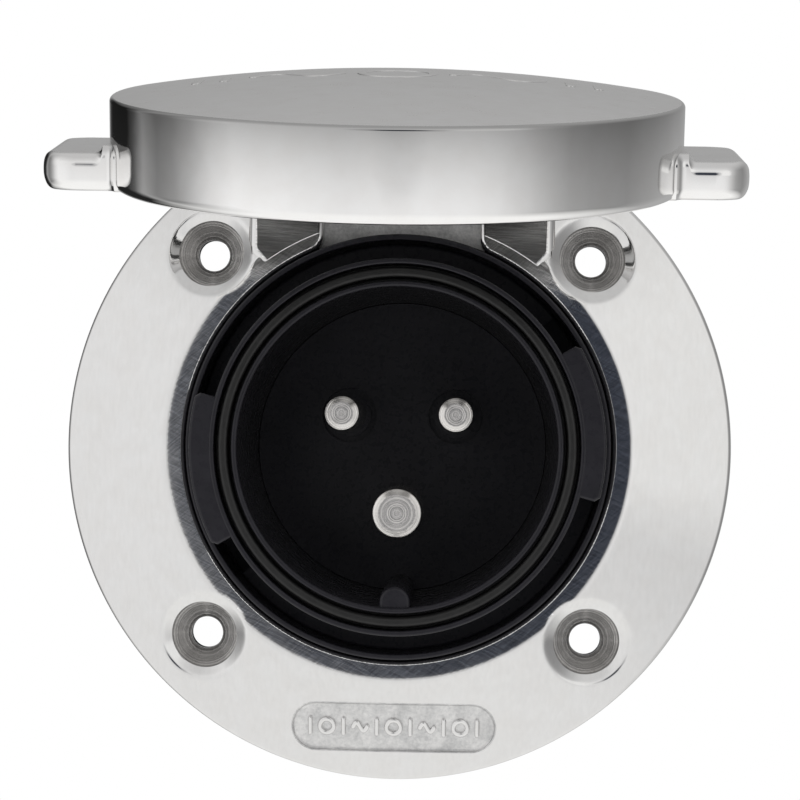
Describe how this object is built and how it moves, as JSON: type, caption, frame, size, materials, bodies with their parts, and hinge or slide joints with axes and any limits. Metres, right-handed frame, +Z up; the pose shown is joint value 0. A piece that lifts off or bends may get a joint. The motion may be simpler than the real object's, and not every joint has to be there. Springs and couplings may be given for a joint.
{
  "type": "flush power inlet",
  "caption": "Round polished steel flush power inlet with a hinged lid over a black three-pin socket, a rear cover and a cable gland.",
  "frame": {"origin": "centre of the flange's back face, on the socket axis", "axes": "+Z up with the hinge at the top, -Y out of the panel towards the user, +X to the user's right"},
  "size_m": [0.094, 0.1626, 0.0985],
  "materials": {
    "cast_steel": "polished cast stainless steel",
    "screw_steel": "plain machined stainless steel",
    "spring_steel": "drawn stainless spring wire",
    "nickel_brass": "nickel-plated, turned",
    "terminal_brass": "plain machined brass",
    "socket_plastic": "black moulded nylon, semi-gloss",
    "carrier_plastic": "black moulded nylon, semi-gloss",
    "cover_plastic": "black moulded nylon, fine spark texture",
    "gland_plastic": "black moulded nylon, satin",
    "bush_plastic": "natural acetal",
    "seal_rubber": "matt black rubber",
    "front_seal_rubber": "dark grey rubber, slight sheen"
  },
  "bodies": {
    "inlet": {"flange": "cast_steel", "hinge_pin": "screw_steel", "lid_spring": "spring_steel", "flange_gasket": "seal_rubber", "socket_housing": "socket_plastic", "socket_seal": "front_seal_rubber", "housing_gasket": "seal_rubber", "housing_screws": "screw_steel", "contact_carrier": "carrier_plastic", "carrier_screws": "screw_steel", "pin_live": "nickel_brass", "pin_neutral": "nickel_brass", "pin_earth": "nickel_brass", "terminal_clamps": "terminal_brass", "terminal_screws": "screw_steel", "rear_cover": "cover_plastic", "rear_cover_seal": "seal_rubber", "rear_cover_screws": "screw_steel", "gland_body": "gland_plastic", "gland_washer": "seal_rubber", "gland_locknut": "gland_plastic", "gland_seal": "seal_rubber", "gland_nut": "gland_plastic"},
    "lid": {"lid": "cast_steel", "lid_gasket": "seal_rubber", "hinge_bushes": "bush_plastic"}
  },
  "joints": [
    {"name": "lid_hinge", "type": "hinge", "parent": "inlet", "child": "lid", "pos_m": [0, -0.005, 0.0385], "axis": [-1, 0, 0], "range_deg": [-77, 15], "stiffness_Nm_per_rad": 0.026, "springref_deg": 129.49, "deforming": ["lid_spring"]}
  ]
}
